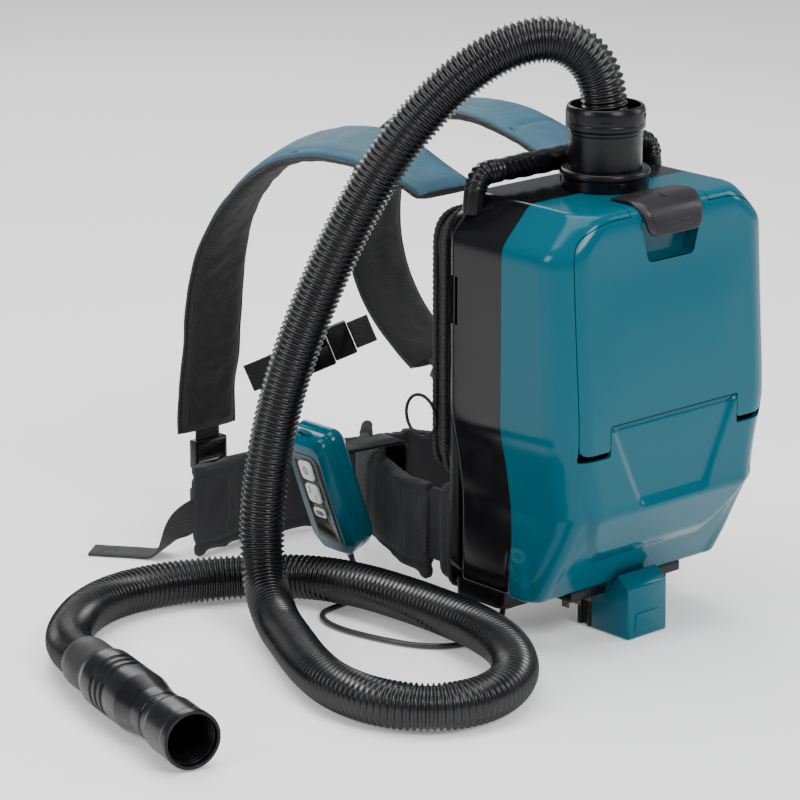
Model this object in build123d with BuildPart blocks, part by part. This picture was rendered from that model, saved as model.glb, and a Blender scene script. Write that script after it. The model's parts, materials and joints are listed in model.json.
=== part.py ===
"""Cordless backpack vacuum cleaner with its harness, remote control and suction hose.

Millimetres. +Z up, the lid faces -Y, the wearer's back is at +Y.
The origin is the centre of the battery post's foot, on the floor.
"""
import os
from math import cos, radians, sin, sqrt, tan

from build123d import *

# ---- driving dimensions: casing -------------------------------------------------
WALL = 3.0            # casing wall
SPLIT_Y = 20.0        # where the front and rear casings meet
REAR_Y = 80.0         # back of the rear casing
REAR_RADIUS = 8.0
FLOOR_Z = 42.0        # underside of the casing
TOP_Z = 352.0         # top of the casing
SIDE_ROUND = 30.0     # rounding of the top edge at the sides
FRONT_ROUND = 15.0    # rounding of the top edge at the front
# height, half width, front Y and corner radius of the casing below its top rounding
SECTIONS = [
    (FLOOR_Z, 102.0, -10.0, 14.0),
    (66.0, 102.0, -24.0, 18.0),
    (116.0, 103.0, -55.0, 28.0),
    (126.0, 104.5, -53.0, 28.0),
    (150.0, 108.0, -53.5, 28.0),
    (180.0, 114.0, -54.0, 28.0),
    (190.0, 115.0, -54.0, 28.0),
    (250.0, 115.0, -50.0, 28.0),
    (310.0, 115.0, -46.0, 28.0),
]

# ---- lid, hinge and latch -------------------------------------------------------
LID_HALF = 100.0      # half width of the lid
LID_TOP = 346.0
LID_SILL = 189.5      # lower edge between the legs
LEG_INNER = 69.5      # inner face of a leg
LEG_BOTTOM = 170.0
GAP = 0.6             # seam round the lid
HINGE_Y, HINGE_Z = -46.0, 175.0
HINGE_X = 81.0        # centre of each hinge knuckle
PIN_R = 2.0
TONGUE_HALF, TONGUE_Y = 42.0, -10.0
LATCH_HALF = 34.0
LATCH_Y, LATCH_Z = -14.5, 350.6
LATCH_PIN_R = 0.9
PIN_FIT = 0.06        # running clearance on a hinge pin

# ---- air path and motor ---------------------------------------------------------
PORT_Y = 26.0         # axis of the hose inlet
CUFF_R, CUFF_BORE = 28.5, 25.5
FAN_Y = 27.0          # axis of the motor
SHAFT_R = 3.0
HOSE_R, HOSE_BORE = 18.0, 15.5
MOUTH_R = 17.5        # bore of the accessory cuff

# ---- harness --------------------------------------------------------------------
PAD_Y = 90.3          # front face of the pads, against the back frame
STRAP_IN, STRAP_W = 45.0, 60.0
SOFT_T = 14.0         # thickness of the padded straps and belt wings
WEB_W, WEB_T = 25.0, 2.0

# ---- remote control -------------------------------------------------------------
REMOTE_W, REMOTE_H, REMOTE_D = 50.0, 112.0, 14.5
REMOTE_WALL = 2.5
REMOTE_TILT = 20.0
REMOTE_AT = (-118.0, 215.0, 88.0)
BUTTONS = {"button_off": (27.0, 8.5), "button_speed": (5.0, 8.5), "button_check": (-14.0, 5.0)}
BUTTON_FIT = 0.1
CORD_R = 2.3

os.makedirs("parts", exist_ok=True)


def write(piece, name):
    """Label a finished part and write its STEP file."""
    piece.part.label = name
    export_step(piece.part, f"parts/{name}.step")


def casing_sections():
    """Sections of the casing, with its top rounding added in six steps."""
    rows = list(SECTIONS)
    for step in range(7):
        angle = radians(15 * step)
        z = TOP_Z - SIDE_ROUND + SIDE_ROUND * sin(angle)
        rise = max(0.0, z - TOP_Z + FRONT_ROUND) / FRONT_ROUND
        front = -31.0 - FRONT_ROUND * sqrt(max(0.0, 1 - rise * rise))
        rows.append((z, 85.0 + SIDE_ROUND * cos(angle), front, 28.0))
    return rows


def envelope(inset):
    """The casing's outer shape, or its inner shape for an inset of one wall."""
    scale_z = (TOP_Z - FLOOR_Z - 2 * inset) / (TOP_Z - FLOOR_Z)
    with BuildPart() as body:
        for z, half, front, radius in casing_sections():
            level = FLOOR_Z + inset + (z - FLOOR_Z) * scale_z
            with BuildSketch(Plane.XY.offset(level)):
                with Locations((0, (REAR_Y + front) / 2)):
                    Rectangle(2 * (half - inset), REAR_Y - front - 2 * inset)
                fillet(vertices().group_by(Axis.Y)[0], radius - inset)
                fillet(vertices().group_by(Axis.Y)[-1], REAR_RADIUS - inset)
        loft(ruled=True)
    return body.part


def lid_space(grow):
    """The lid's outline from the front with its two legs, and its tongue on top."""
    half, inner = LID_HALF + grow, LEG_INNER - grow
    leg = LEG_BOTTOM - 7 * grow
    sill = LID_SILL - 3 * grow
    outline = [
        (-half, leg), (-inner, leg), (-inner, sill), (inner, sill), (inner, leg), (half, leg),
        (half, LID_TOP - 14 + grow), (half - 26, LID_TOP + grow),
        (26 - half, LID_TOP + grow), (-half, LID_TOP - 14 + grow),
    ]
    with BuildPart() as space:
        with BuildSketch(Plane.XZ.offset(24)):
            with BuildLine():
                Polyline(*outline, close=True)
            make_face()
        extrude(amount=40)
        with BuildSketch(Plane.XY.offset(LID_TOP - 8)):
            with Locations((0, TONGUE_Y + grow - 25)):
                Rectangle(2 * (TONGUE_HALF + grow), 50)
        extrude(amount=20)
    return space.part


def band(plane, points, thickness, width, radius):
    """A strip of even thickness along a bent centre line, extruded from the plane."""
    with BuildPart() as strip:
        with BuildSketch(plane):
            with BuildLine():
                FilletPolyline(*points, radius=radius)
                offset(amount=thickness / 2, side=Side.BOTH, kind=Kind.INTERSECTION)
            make_face()
        extrude(amount=width)
    return strip.part


def turned(profile, centre_y):
    """A ring turned about a vertical axis from its (radius, height) outline."""
    with BuildPart() as ring:
        with BuildSketch(Plane.XZ.offset(-centre_y)):
            with BuildLine():
                Polyline(*profile, close=True)
            make_face()
        revolve(axis=Axis((0, centre_y, 0), (0, 0, 1)))
    return ring.part


def bend_radii(name, points):
    """The largest bend radius that fits at every inner point of a route."""
    places = [Vector(*point) for point in points]
    radii = []
    for before, here, after in zip(places, places[1:], places[2:]):
        arriving, leaving = here - before, after - here
        half_turn = radians(arriving.get_angle(leaving)) / 2
        radii.append(0.45 * min(arriving.length, leaving.length) / tan(half_turn))
    print(name, "bend radii", [round(radius) for radius in radii])
    return radii


def tube(name, points, outer_r, bore_r):
    """A round tube along a route of straight runs and tangent arcs."""
    with BuildPart() as swept:
        with BuildLine() as route:
            FilletPolyline(*points, radius=bend_radii(name, points))
        with BuildSketch(Plane(origin=route.line @ 0, z_dir=route.line % 0)):
            Circle(outer_r)
            if bore_r:
                Circle(bore_r, mode=Mode.SUBTRACT)
        sweep()
    print(name, "length", round(route.wires()[0].length, 1))
    return swept.part


outer = envelope(0)
inner = envelope(WALL)

# ---- casings --------------------------------------------------------------------
with BuildPart() as rear_casing:
    add(outer)
    add(inner, mode=Mode.SUBTRACT)
    split(bisect_by=Plane.XZ.offset(-SPLIT_Y), keep=Keep.BOTTOM)
    with Locations((0, PORT_Y, TOP_Z)):
        Cylinder(31.8, 20, mode=Mode.SUBTRACT)
    for vent_y in (70.0, 75.5):
        with Locations((0, vent_y, 272)):
            Box(260, 2.8, 40, mode=Mode.SUBTRACT)
    for x in (-88, 88):
        for z in (56, 322):
            with Locations(Location((x, REAR_Y, z), (90, 0, 0))):
                Cylinder(2.2, 20, mode=Mode.SUBTRACT)
write(rear_casing, "rear_casing")

with BuildPart() as front_casing:
    add(outer)
    add(inner, mode=Mode.SUBTRACT)
    split(bisect_by=Plane.XZ.offset(-SPLIT_Y), keep=Keep.TOP)
    add(lid_space(GAP), mode=Mode.SUBTRACT)
    with Locations((0, PORT_Y, TOP_Z)):
        Cylinder(31.8, 20, mode=Mode.SUBTRACT)
write(front_casing, "front_casing")

# ---- lid ------------------------------------------------------------------------
with BuildPart() as lid:
    add(outer)
    add(inner, mode=Mode.SUBTRACT)
    # back of the finger pocket under the latch, and the rib that holds the latch pin
    with Locations((0, -38, 323)):
        Box(76, 14, 34)
    with Locations((0, -15.5, 346.9)):
        Box(80, 9.8, 7.8)
    add(outer, mode=Mode.INTERSECT)
    add(lid_space(0), mode=Mode.INTERSECT)
    with BuildSketch(Plane.XZ.offset(34)):
        with BuildLine():
            Polyline((-26, 309), (26, 309), (35, 337), (-35, 337), close=True)
        make_face()
    extrude(amount=30, mode=Mode.SUBTRACT)
    with Locations(Location((0, LATCH_Y, LATCH_Z), (0, 90, 0))):
        Cylinder(2.5, 2 * LATCH_HALF + 1, mode=Mode.SUBTRACT)
        Cylinder(LATCH_PIN_R, 2 * LATCH_HALF + 8, mode=Mode.SUBTRACT)
    # hinge knuckles in the legs
    for side in (-HINGE_X, HINGE_X):
        with Locations((side, HINGE_Y - 2.8, HINGE_Z)):
            Box(14, 5.6, 9)
        with Locations(Location((side, HINGE_Y, HINGE_Z), (0, 90, 0))):
            Cylinder(4.5, 14)
            Cylinder(PIN_R + PIN_FIT, 14, mode=Mode.SUBTRACT)
write(lid, "lid")

with BuildPart() as lid_pins:
    for side in (-HINGE_X, HINGE_X):
        with Locations(Location((side, HINGE_Y, HINGE_Z), (0, 90, 0))):
            Cylinder(PIN_R, 22.4)
write(lid_pins, "lid_pins")

with BuildPart() as latch:
    # the cover ends level with the pin, so that nothing dips into the lid as it lifts
    cover = [(-15.5, 353.7), (-35, 354.2), (-49.5, 346.5), (-52.8, 322)]
    add(band(Plane.YZ.offset(-LATCH_HALF), cover, 2.8, 2 * LATCH_HALF, 9))
    with Locations((0, LATCH_Y - 0.7, LATCH_Z + 1.4)):
        Box(2 * LATCH_HALF, 1.6, 2)
    with Locations(Location((0, LATCH_Y, LATCH_Z), (0, 90, 0))):
        Cylinder(2.1, 2 * LATCH_HALF)
        Cylinder(LATCH_PIN_R + PIN_FIT, 2 * LATCH_HALF, mode=Mode.SUBTRACT)
write(latch, "latch")

with BuildPart() as latch_pin:
    with Locations(Location((0, LATCH_Y, LATCH_Z), (0, 90, 0))):
        Cylinder(LATCH_PIN_R, 2 * LATCH_HALF + 8)
write(latch_pin, "latch_pin")

# ---- dust chamber ---------------------------------------------------------------
with BuildPart() as chamber_frame:
    with Locations((0, -28.5, 253)):
        Box(200, 3, 168)
        Box(168, 3, 124, mode=Mode.SUBTRACT)
    for centre in (-HINGE_X - 9.5, 9.5 - HINGE_X, HINGE_X - 9.5, HINGE_X + 9.5):
        with Locations((centre, (HINGE_Y - 30) / 2, HINGE_Z)):
            Box(3.4, -30 - HINGE_Y, 6)
        with Locations(Location((centre, HINGE_Y, HINGE_Z), (0, 90, 0))):
            Cylinder(3.2, 3.4)
            Cylinder(PIN_R, 3.4, mode=Mode.SUBTRACT)
write(chamber_frame, "chamber_frame")

with BuildPart() as lid_seal:
    with BuildSketch(Plane.XZ.offset(30)):
        with Locations((0, 253)):
            RectangleRounded(186, 140, 10)
            RectangleRounded(174, 128, 6, mode=Mode.SUBTRACT)
    extrude(amount=0.8)
write(lid_seal, "lid_seal")

with BuildPart() as bulkhead:
    with BuildSketch(Plane.XY.offset(184)):
        with Locations((0, 25.5)):
            Rectangle(208, 103)
        with Locations((0, FAN_Y)):
            Circle(38, mode=Mode.SUBTRACT)
    extrude(amount=3)
    with BuildSketch(Plane.XY.offset(187)):
        with Locations((0, FAN_Y)):
            Circle(45)
            Circle(42, mode=Mode.SUBTRACT)
    extrude(amount=10)
write(bulkhead, "bulkhead")

with BuildPart() as foam_filter:
    with Locations((0, FAN_Y, 193.2)):
        Cylinder(41.7, 12)
    fillet(edges().filter_by(GeomType.CIRCLE), 2)
write(foam_filter, "foam_filter")

with BuildPart() as dust_bag:
    with Locations((0, 22, 259)):
        Box(150, 88, 116)
    fillet(edges(), 20)
write(dust_bag, "dust_bag")

with BuildPart() as bag_collar:
    with BuildSketch(Plane.XY.offset(317.5)):
        with Locations((0, PORT_Y)):
            RectangleRounded(96, 84, 8)
            Circle(26, mode=Mode.SUBTRACT)
    extrude(amount=3)
write(bag_collar, "bag_collar")

# ---- hose inlet -----------------------------------------------------------------
with BuildPart() as inlet_ring:
    add(turned([(28.6, 320.5), (31.4, 320.5), (31.4, 352.2), (34, 352.2), (34, 365),
                (32.6, 367), (28.6, 367)], PORT_Y))
write(inlet_ring, "inlet_ring")

with BuildPart() as hose_cuff:
    add(turned([(CUFF_BORE, 340), (CUFF_R, 340), (CUFF_R, 396), (30.8, 398), (30.8, 412),
                (29, 416), (27, 416), (27, 404), (CUFF_BORE, 402)], PORT_Y))
write(hose_cuff, "hose_cuff")

with BuildPart() as hose_swivel:
    add(turned([(18.1, 378), (25.4, 378), (25.4, 401), (22, 405), (18.1, 405)], PORT_Y))
write(hose_swivel, "hose_swivel")

# ---- motor and fan --------------------------------------------------------------
with BuildPart() as motor_shell:
    add(turned([(16, 86), (48, 86), (48, 184), (38, 184), (38, 181), (45, 181), (45, 89),
                (16, 89)], FAN_Y))
write(motor_shell, "motor_shell")

with BuildPart() as motor_frame:
    add(turned([(9, 96), (27, 96), (27, 146), (9, 146), (9, 143), (24, 143), (24, 99),
                (9, 99)], FAN_Y))
    for arm in range(3):
        turn = radians(120 * arm + 30)
        place = (35.6 * cos(turn), FAN_Y + 35.6 * sin(turn), 97.5)
        with Locations(Location(place, (0, 0, 120 * arm + 30))):
            Box(18.2, 8, 3)
write(motor_frame, "motor_frame")

with BuildPart() as motor_mounts:
    for arm in range(3):
        turn = radians(120 * arm + 30)
        with Locations((35 * cos(turn), FAN_Y + 35 * sin(turn), 92.5)):
            Cylinder(4, 7)
write(motor_mounts, "motor_mounts")

with BuildPart() as motor_stator:
    add(turned([(15, 108), (24, 108), (24, 134), (15, 134)], FAN_Y))
write(motor_stator, "motor_stator")

with BuildPart() as motor_bearings:
    for base in (96, 140):
        add(turned([(SHAFT_R + PIN_FIT, base), (9, base), (9, base + 6),
                    (SHAFT_R + PIN_FIT, base + 6)], FAN_Y))
write(motor_bearings, "motor_bearings")

with BuildPart() as rotor:
    with Locations((0, FAN_Y, 132.5)):
        Cylinder(SHAFT_R, 79)
    with Locations((0, FAN_Y, 121)):
        Cylinder(14, 24)
write(rotor, "rotor")

with BuildPart() as impeller:
    with Locations((0, FAN_Y, 151)):
        Cylinder(42, 2)
    with Locations((0, FAN_Y, 159)):
        Cylinder(9, 18)
    for blade in range(9):
        turn = radians(40 * blade)
        place = (24 * cos(turn), FAN_Y + 24 * sin(turn), 158)
        with Locations(Location(place, (0, 0, 40 * blade + 24))):
            Box(33, 1.8, 14)
    with Locations((0, FAN_Y, 159)):
        Cylinder(SHAFT_R, 22, mode=Mode.SUBTRACT)
write(impeller, "impeller")

# ---- electrics ------------------------------------------------------------------
with BuildPart() as controller_board:
    with Locations((0, -29, 138)):
        Box(100, 1.6, 54)
    for x in (-36, -14, 10, 34):
        with Locations((x, -33.8, 138)):
            Box(13, 8, 20)
write(controller_board, "controller_board")

with BuildPart() as terminal_blocks:
    for side in (-42, 42):
        with Locations((side, 8, 38)):
            Box(38, 26, 8)
    fillet(edges().filter_by(Axis.Z), 2)
write(terminal_blocks, "terminal_blocks")

with BuildPart() as terminal_blades:
    for side in (-42, 42):
        for offset_x in (-12, 0, 12):
            with Locations((side + offset_x, 8, 30)):
                Box(0.9, 8, 8)
write(terminal_blades, "terminal_blades")

# ---- underside ------------------------------------------------------------------
with BuildPart() as post_cover:
    with BuildSketch(Plane.YZ.offset(-21.5)):
        with BuildLine():
            Polyline((-29, 0), (13, 0), (13, FLOOR_Z), (-10.3, FLOOR_Z), (-15.9, 51.2),
                     (-28.3, FLOOR_Z), close=True)
        make_face()
    extrude(amount=43)
    with Locations((0, -6.5, 21)):
        Box(37, 39, 36, mode=Mode.SUBTRACT)
write(post_cover, "post_cover")

with BuildPart() as post_rail:
    with Locations((0, 20.5, FLOOR_Z / 2)):
        Box(43, 15, FLOOR_Z)
    for side in (-21.5, 21.5):
        with Locations((side, 20.5, 18)):
            Box(6, 6, 36, mode=Mode.SUBTRACT)
write(post_rail, "post_rail")

with BuildPart() as base_plate:
    with Locations((0, 61.3, 34.5)):
        Box(196, 57, 15)
    fillet(edges().filter_by(Axis.Z), 8)
    with Locations((0, 61.3, 33)):
        Box(190, 51, 12, mode=Mode.SUBTRACT)
    with Locations((-70, 60, 40.5)):
        Cylinder(CORD_R + 0.1, 3, mode=Mode.SUBTRACT)
write(base_plate, "base_plate")

with BuildPart() as exhaust_filter:
    for side in (-107, 107):
        with Locations((side, 64, 272)):
            Box(5, 18, 46)
write(exhaust_filter, "exhaust_filter")

# ---- back frame and handle ------------------------------------------------------
with BuildPart() as back_frame:
    with BuildSketch(Plane.XZ.offset(-REAR_Y)):
        with Locations((0, 189.5)):
            RectangleRounded(204, 295, 18)
        with Locations((0, 120), (0, 246)):
            RectangleRounded(140, 100, 12, mode=Mode.SUBTRACT)
    extrude(amount=-10)
    for x in (-88, 88):
        for z in (56, 322):
            with Locations(Location((x, 85, z), (90, 0, 0))):
                Cylinder(2.2, 10, mode=Mode.SUBTRACT)
            with Locations(Location((x, 88, z), (90, 0, 0))):
                Cylinder(4.4, 4, mode=Mode.SUBTRACT)
write(back_frame, "back_frame")

with BuildPart() as casing_screws:
    for x in (-88, 88):
        for z in (56, 322):
            with Locations(Location((x, 79, z), (90, 0, 0))):
                Cylinder(2, 16)
            with Locations(Location((x, 87.6, z), (90, 0, 0))):
                Cylinder(4, 3.2)
write(casing_screws, "casing_screws")

with BuildPart() as carry_handle:
    with BuildLine():
        FilletPolyline((-97, 70, 338), (-97, 70, 367.5), (97, 70, 367.5), (97, 70, 338), radius=14)
    with BuildSketch(Plane.XY.offset(338)):
        with Locations((-97, 70)):
            Circle(9.5)
    sweep()
    add(outer, mode=Mode.SUBTRACT)
write(carry_handle, "carry_handle")

# ---- pads -----------------------------------------------------------------------
with BuildPart() as back_pad:
    with BuildSketch(Plane.XZ.offset(-PAD_Y)):
        with Locations((0, 227.5)):
            RectangleRounded(210, 219, 26)
    extrude(amount=-27.5)
    fillet(faces().sort_by(Axis.Y)[-1].edges(), 10)
write(back_pad, "back_pad")

with BuildPart() as lumbar_pad:
    with BuildSketch(Plane.XZ.offset(-PAD_Y)):
        with Locations((0, 71.5)):
            RectangleRounded(196, 87, 14)
    extrude(amount=-25.5)
    fillet(faces().sort_by(Axis.Y)[-1].edges(), 6)
write(lumbar_pad, "lumbar_pad")

# ---- shoulder straps and belt wings ---------------------------------------------
near_strap_line = [(125, 340.5), (158, 352), (205, 361), (255, 360), (306, 345), (345, 320),
                   (378, 288), (400, 248), (411, 200), (415, 150), (424, 114), (423, 84)]
with BuildPart() as strap_left:
    add(band(Plane.YZ.offset(-STRAP_IN - STRAP_W), near_strap_line, SOFT_T, STRAP_W, 30))
write(strap_left, "strap_left")

far_strap_line = [(126, 342), (165, 355), (225, 368), (290, 363), (340, 340), (372, 295),
                  (380, 243), (366, 198), (332, 162), (296, 142)]
with BuildPart() as strap_right:
    add(band(Plane.YZ.offset(STRAP_IN), far_strap_line, SOFT_T, STRAP_W, 30))
write(strap_right, "strap_right")

near_wing_line = [(-88, 124), (-86, 153), (-68, 205), (-46, 255), (-12, 284)]
with BuildPart() as wing_left:
    add(band(Plane.XY.offset(27), near_wing_line, SOFT_T, 85, 25))
write(wing_left, "wing_left")

far_wing_line = [(88, 124), (104, 180), (104, 250), (62, 318), (-20, 352), (-90, 362),
                 (-145, 352)]
with BuildPart() as wing_right:
    add(band(Plane.XY, far_wing_line, SOFT_T, 82, 30))
write(wing_right, "wing_right")

# ---- webbing and fittings -------------------------------------------------------
with BuildPart() as ladder_locks:
    with Locations((-75, 422.5, 63)):
        Box(34, 9, 25)
        with Locations((0, 0, -6), (0, 0, 5)):
            Box(27, 9, 4, mode=Mode.SUBTRACT)
    with Locations(Location((75, 277.5, 132), (28, 0, 0))):
        Box(34, 22, 9)
        with Locations((0, -5, 0), (0, 5, 0)):
            Box(27, 4, 9, mode=Mode.SUBTRACT)
write(ladder_locks, "ladder_locks")

with BuildPart() as lower_webbing:
    add(band(Plane.YZ.offset(-87.5), [(422.5, 49), (419, 22), (396, 9), (376, 24), (372, 62)],
             WEB_T, WEB_W, 8))
    add(band(Plane.YZ.offset(62.5), [(264.5, 125), (258, 110), (268, 92), (286, 84.5)],
             WEB_T, WEB_W, 8))
write(lower_webbing, "lower_webbing")

with BuildPart() as strap_tail:
    with BuildSketch(Plane.XY):
        with BuildLine():
            FilletPolyline((-151, 378), (-173, 395), (-199, 426), radius=20)
            offset(amount=WEB_W / 2, side=Side.BOTH, kind=Kind.INTERSECTION)
        make_face()
    extrude(amount=WEB_T)
write(strap_tail, "strap_tail")

chest_plane = Plane(origin=(-44.6, 405, 125), x_dir=(0, 0, 1), z_dir=(89.2, -62, 43))
with BuildPart(chest_plane) as sternum_strap:
    with Locations((0, 0, 22.5)):
        Box(WEB_W, WEB_T, 44)
    with Locations((0, 0, 105)):
        Box(WEB_W, WEB_T, 19)
write(sternum_strap, "sternum_strap")

with BuildPart(chest_plane) as buckle_socket:
    with Locations((0, 0, 60)):
        Box(34, 9, 30)
    fillet(edges(), 2)
write(buckle_socket, "buckle_socket")

with BuildPart(chest_plane) as buckle_prong:
    with Locations((0, 0, 85.2)):
        Box(30, 7, 20)
    fillet(edges(), 1.5)
write(buckle_prong, "buckle_prong")

with BuildPart() as cord_keeper:
    with Locations(Location((-106.8, 118, 168), (0, 90, 0))):
        Torus(17, 1.3)
write(cord_keeper, "cord_keeper")

# ---- remote control -------------------------------------------------------------
remote_plane = Plane(
    origin=REMOTE_AT,
    x_dir=(0, -1, 0),
    z_dir=(-cos(radians(REMOTE_TILT)), 0, -sin(radians(REMOTE_TILT))),
)

outward = Axis((0, 0, 0), remote_plane.z_dir)

with BuildPart() as remote_front:
    with BuildSketch(remote_plane):
        RectangleRounded(REMOTE_W, REMOTE_H, 11)
    extrude(amount=REMOTE_D)
    fillet(faces().sort_by(outward)[-1].edges(), 4)
    with BuildSketch(remote_plane):
        RectangleRounded(REMOTE_W - 2 * REMOTE_WALL, REMOTE_H - 2 * REMOTE_WALL, 8.5)
    extrude(amount=REMOTE_D - REMOTE_WALL, mode=Mode.SUBTRACT)
    with BuildSketch(remote_plane.offset(REMOTE_D - REMOTE_WALL)):
        for height, radius in BUTTONS.values():
            with Locations((0, height)):
                Circle(radius + BUTTON_FIT)
    extrude(amount=REMOTE_WALL, mode=Mode.SUBTRACT)
write(remote_front, "remote_front")

with BuildPart() as remote_label:
    with BuildSketch(remote_plane.offset(REMOTE_D)):
        with Locations((0, 8)):
            RectangleRounded(30, 66, 9)
        for height, radius in BUTTONS.values():
            with Locations((0, height)):
                Circle(radius + BUTTON_FIT, mode=Mode.SUBTRACT)
    extrude(amount=0.6)
write(remote_label, "remote_label")

with BuildPart() as button_off:
    with BuildSketch(remote_plane.offset(8.5)):
        with Locations((0, BUTTONS["button_off"][0])):
            Circle(BUTTONS["button_off"][1])
    extrude(amount=8.3)
write(button_off, "button_off")

with BuildPart() as button_speed:
    with BuildSketch(remote_plane.offset(8.5)):
        with Locations((0, BUTTONS["button_speed"][0])):
            Circle(BUTTONS["button_speed"][1])
    extrude(amount=8.3)
write(button_speed, "button_speed")

with BuildPart() as button_check:
    with BuildSketch(remote_plane.offset(8.5)):
        with Locations((0, BUTTONS["button_check"][0])):
            Circle(BUTTONS["button_check"][1])
    extrude(amount=7.8)
write(button_check, "button_check")

with BuildPart() as remote_board:
    with BuildSketch(remote_plane.offset(4.4)):
        Rectangle(40, 96)
    extrude(amount=1.6)
    with BuildSketch(remote_plane.offset(6)):
        with Locations((0, 27), (0, 5), (0, -14)):
            Rectangle(6, 6)
    extrude(amount=1)
write(remote_board, "remote_board")

with BuildPart() as remote_back:
    with BuildSketch(remote_plane):
        RectangleRounded(REMOTE_W, REMOTE_H, 11)
    extrude(amount=-REMOTE_D)
    fillet(faces().sort_by(outward)[0].edges(), 4)
    with BuildSketch(remote_plane):
        RectangleRounded(REMOTE_W - 2 * REMOTE_WALL, REMOTE_H - 2 * REMOTE_WALL, 8.5)
    extrude(amount=REMOTE_WALL - REMOTE_D, mode=Mode.SUBTRACT)
    with BuildSketch(remote_plane.offset(-4)):
        with Locations((-18, -30), (18, -30), (-18, 30), (18, 30)):
            Rectangle(4, 4)
    extrude(amount=REMOTE_WALL - REMOTE_D + 4)
write(remote_back, "remote_back")

with BuildPart() as remote_clip:
    with BuildSketch(remote_plane.offset(-REMOTE_D)):
        with Locations((0, 20)):
            RectangleRounded(26, 40, 4)
    extrude(amount=-3)
    hook_line = [(-111.8, 119.4), (-80, 117.4), (-46, 115.4), (-46, 88)]
    add(band(Plane.XZ.offset(-227), hook_line, 3, 24, 5))
write(remote_clip, "remote_clip")

with BuildPart() as remote_relief:
    with BuildSketch(Plane(origin=remote_plane.from_local_coords(Vector(0, -REMOTE_H / 2, 0)),
                           z_dir=-remote_plane.y_dir)):
        Circle(5)
    extrude(amount=4, taper=20)
write(remote_relief, "remote_relief")

# ---- remote cable, hose and accessory cuff --------------------------------------
exit_point = remote_plane.from_local_coords(Vector(0, -REMOTE_H / 2 - 4.7, 0))
cord_route = [
    tuple(exit_point), (-94, 211, 14), (-101, 184, 3.2), (-135, 180, 2.4), (-165, 176, 2.5),
    (-176, 145, 2.4), (-168, 100, 2.5), (-152, 60, 2.4), (-122, 43, 2.5), (-92, 49, 3.2),
    (-75, 57, 9), (-70, 60, 27),
]
with BuildPart() as remote_cord:
    add(tube("remote_cord", cord_route, CORD_R, 0))
write(remote_cord, "remote_cord")

hose_route = [
    (0, 26, 388), (0, 26, 425), (-9.2, 33.7, 452), (-29, 50.4, 468), (-54, 71, 463),
    (-79.7, 92.8, 444), (-104, 113.4, 414), (-126.4, 132, 378), (-145.6, 148, 336),
    (-162.4, 162, 290), (-177, 174.5, 243), (-189, 185, 196), (-197.7, 192, 149),
    (-203, 196, 103), (-206, 196, 64), (-213, 182, 33), (-229, 150, 18.3), (-250, 108, 18.2),
    (-274, 60, 18.3), (-290, 12, 18.2), (-288, -37, 18.3), (-262, -74, 18.2), (-219, -84, 18.6),
    (-176, -66, 20.5), (-147, -28, 23.5), (-133, 18, 24.4), (-129, 66, 24.2), (-130, 112, 24.4),
    (-134, 157, 24.2), (-146, 200, 23), (-170, 237, 20), (-203, 264, 18.3), (-243, 280, 18.2),
    (-285, 283, 18.3), (-322, 271, 18.2), (-354, 248, 18.4), (-380, 220, 20.5),
    (-397.3, 187.3, 23.5), (-406.4, 148.4, 23.5),
]
with BuildPart() as hose:
    add(tube("hose", hose_route, HOSE_R, HOSE_BORE))
write(hose, "hose")

cuff_plane = Plane(origin=(-403, 163, 23.5), x_dir=(0, 0, 1), z_dir=(-0.22686, -0.97393, 0))


def cuff_ring(profile):
    """A ring of the accessory cuff from its (radius, distance) outline."""
    with BuildPart() as ring:
        with BuildSketch(Plane(origin=cuff_plane.origin, x_dir=cuff_plane.x_dir,
                               z_dir=cuff_plane.y_dir)):
            with BuildLine():
                Polyline(*[(radius, -along) for radius, along in profile], close=True)
            make_face()
        revolve(axis=Axis(cuff_plane.origin, cuff_plane.z_dir))
    return ring.part


with BuildPart() as cuff_sleeve:
    add(cuff_ring([(18.1, 0), (20.5, 0), (20.5, 29), (MOUTH_R, 29), (MOUTH_R, 16), (18.1, 16)]))
write(cuff_sleeve, "cuff_sleeve")

with BuildPart() as cuff_body:
    grooves = []
    for start in (52, 66, 80):
        grooves += [(23.4, start), (22.2, start + 1), (22.2, start + 4), (23.4, start + 5)]
    add(cuff_ring([(MOUTH_R, 29), (21.5, 29), (23.4, 36)] + grooves
                  + [(23.4, 98), (19.6, 118), (19.6, 136), (MOUTH_R, 136)]))
write(cuff_body, "cuff_body")

with BuildPart() as cuff_tip:
    add(cuff_ring([(MOUTH_R, 136), (20.2, 136), (22, 144), (22, 176), (21, 180), (MOUTH_R, 180)]))
write(cuff_tip, "cuff_tip")
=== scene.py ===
"""Looks of the backpack vacuum cleaner: moulded shells, padded harness, ribbed hose and studio.

Everything is in the part's own frame. Lengths are millimetres, apart from lights and camera.
"""

import json
from math import cos, exp, pi, radians, sin

import bmesh
import bpy
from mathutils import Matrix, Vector
from mathutils.noise import noise


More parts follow.
